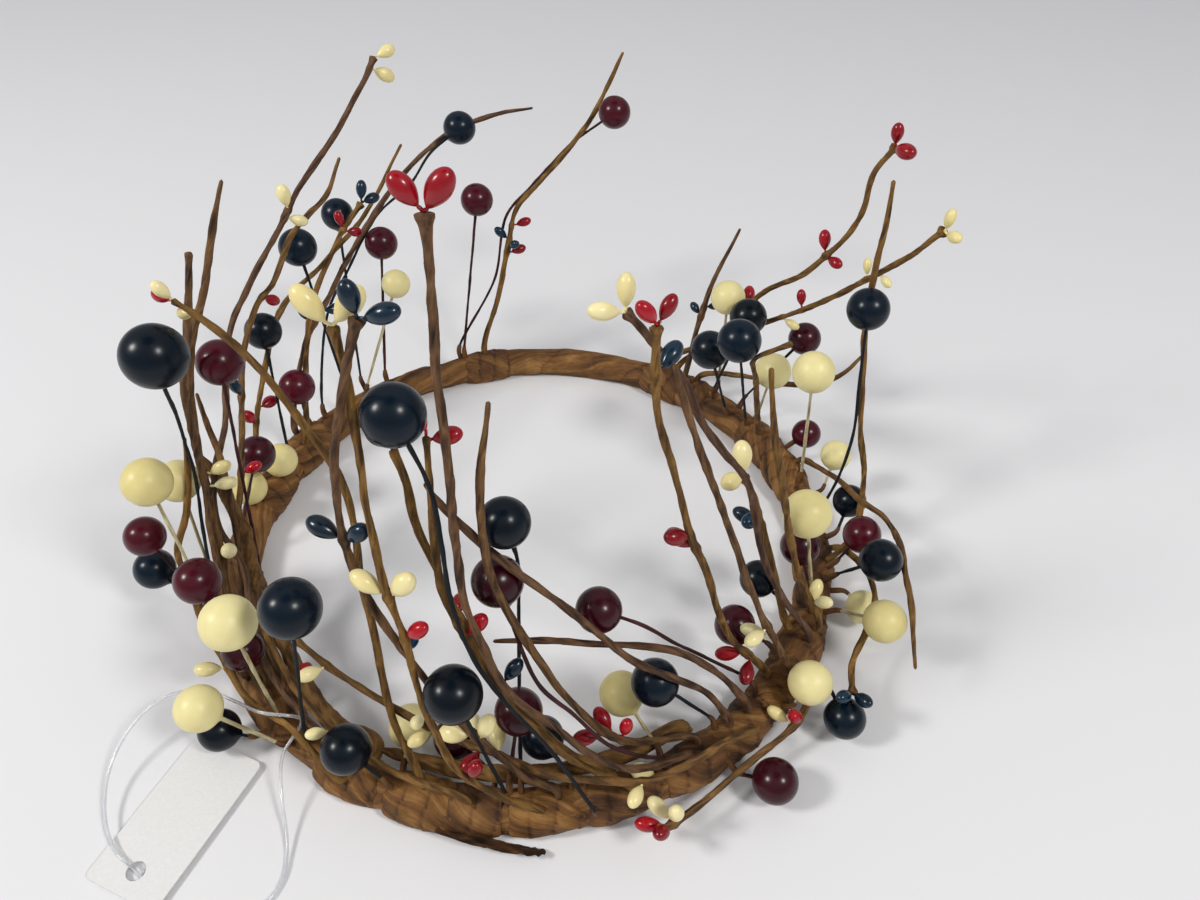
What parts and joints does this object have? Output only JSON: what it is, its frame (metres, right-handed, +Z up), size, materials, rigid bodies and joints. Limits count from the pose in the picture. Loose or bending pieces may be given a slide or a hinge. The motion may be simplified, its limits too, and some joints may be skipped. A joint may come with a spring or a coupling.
{
  "type": "candle ring",
  "caption": "Tabletop wreath ring of tape-wrapped wire with upright twigs, lacquered berries and pips, open in the middle for a pillar or jar candle.",
  "frame": {"origin": "middle of the ring on the table", "axes": "+Z up; -Y is the front, where the picture was taken from; the hang tag lies towards -X and -Y"},
  "size_m": [0.1931, 0.2053, 0.1392],
  "materials": {
    "steel_wire": "bare drawn wire, hidden inside the wrap",
    "paper_tape": "crinkled brown paper tape",
    "twig_tape": "brown paper tape wound on wire",
    "navy_wire": "thin wire covered in dark paper",
    "cream_wire": "thin wire covered in cream paper",
    "burgundy_wire": "thin wire covered in brown paper",
    "navy_lacquer": "glossy lacquer",
    "cream_lacquer": "satin lacquer",
    "burgundy_lacquer": "glossy lacquer",
    "navy_pip": "glossy lacquer",
    "cream_pip": "glossy lacquer",
    "red_pip": "glossy lacquer",
    "card": "white card, blank",
    "clear_nylon": "clear cord"
  },
  "bodies": {
    "root": {"back_burgundy_berries": "burgundy_lacquer", "back_burgundy_wires": "burgundy_wire", "back_cream_berries": "cream_lacquer", "back_cream_pips": "cream_pip", "back_cream_wires": "cream_wire", "back_left_spray": "twig_tape", "back_navy_berries": "navy_lacquer", "back_navy_pips": "navy_pip", "back_navy_wires": "navy_wire", "back_red_pips": "red_pip", "back_right_spray": "twig_tape", "back_spray": "twig_tape", "back_ties": "paper_tape", "core_hoop": "steel_wire", "far_right_spray": "twig_tape", "front_burgundy_berries": "burgundy_lacquer", "front_burgundy_wires": "burgundy_wire", "front_cream_berries": "cream_lacquer", "front_cream_pips": "cream_pip", "front_cream_wires": "cream_wire", "front_left_spray": "twig_tape", "front_navy_berries": "navy_lacquer", "front_navy_pips": "navy_pip", "front_navy_wires": "navy_wire", "front_red_pips": "red_pip", "front_spray": "twig_tape", "front_ties": "paper_tape", "hang_tag": "card", "left_burgundy_berries": "burgundy_lacquer", "left_burgundy_wires": "burgundy_wire", "left_cream_berries": "cream_lacquer", "left_cream_pips": "cream_pip", "left_cream_wires": "cream_wire", "left_navy_berries": "navy_lacquer", "left_navy_pips": "navy_pip", "left_navy_wires": "navy_wire", "left_red_pips": "red_pip", "left_spray": "twig_tape", "left_ties": "paper_tape", "loop_catch": "clear_nylon", "low_spray": "twig_tape", "right_burgundy_berries": "burgundy_lacquer", "right_burgundy_wires": "burgundy_wire", "right_cream_berries": "cream_lacquer", "right_cream_pips": "cream_pip", "right_cream_wires": "cream_wire", "right_front_spray": "twig_tape", "right_navy_berries": "navy_lacquer", "right_navy_pips": "navy_pip", "right_navy_wires": "navy_wire", "right_red_pips": "red_pip", "right_spray": "twig_tape", "right_ties": "paper_tape", "ring_wrap": "paper_tape", "side_twigs": "twig_tape", "tag_loop": "clear_nylon"}
  },
  "joints": []
}
